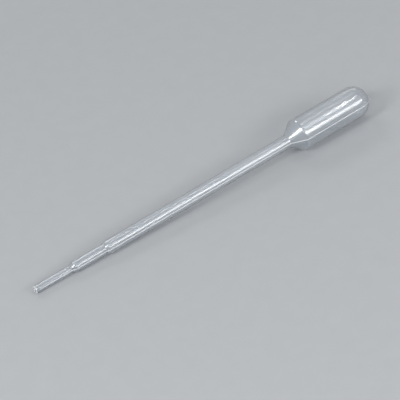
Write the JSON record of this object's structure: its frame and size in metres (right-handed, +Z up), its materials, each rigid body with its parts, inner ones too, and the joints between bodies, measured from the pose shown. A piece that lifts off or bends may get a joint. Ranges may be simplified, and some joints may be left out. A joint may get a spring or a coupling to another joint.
{
  "type": "dropper pipette",
  "caption": "Soft plastic dropper pipette in one piece: stepped fine tip, graduated stem and squeeze bulb, lying on its side.",
  "frame": {"origin": "bottom centre of the box of the pipette as it lies on its side", "axes": "+X from the open tip to the squeeze bulb, +Z up. The tube's own axis rises by 2.4 degrees from level towards the bulb"},
  "size_m": [0.16, 0.0134, 0.0144],
  "materials": {
    "clear_polyethylene": "clear, slightly milky low-density polyethylene with a soft gloss"
  },
  "bodies": {
    "root": {"pipette": "clear_polyethylene"}
  },
  "joints": []
}
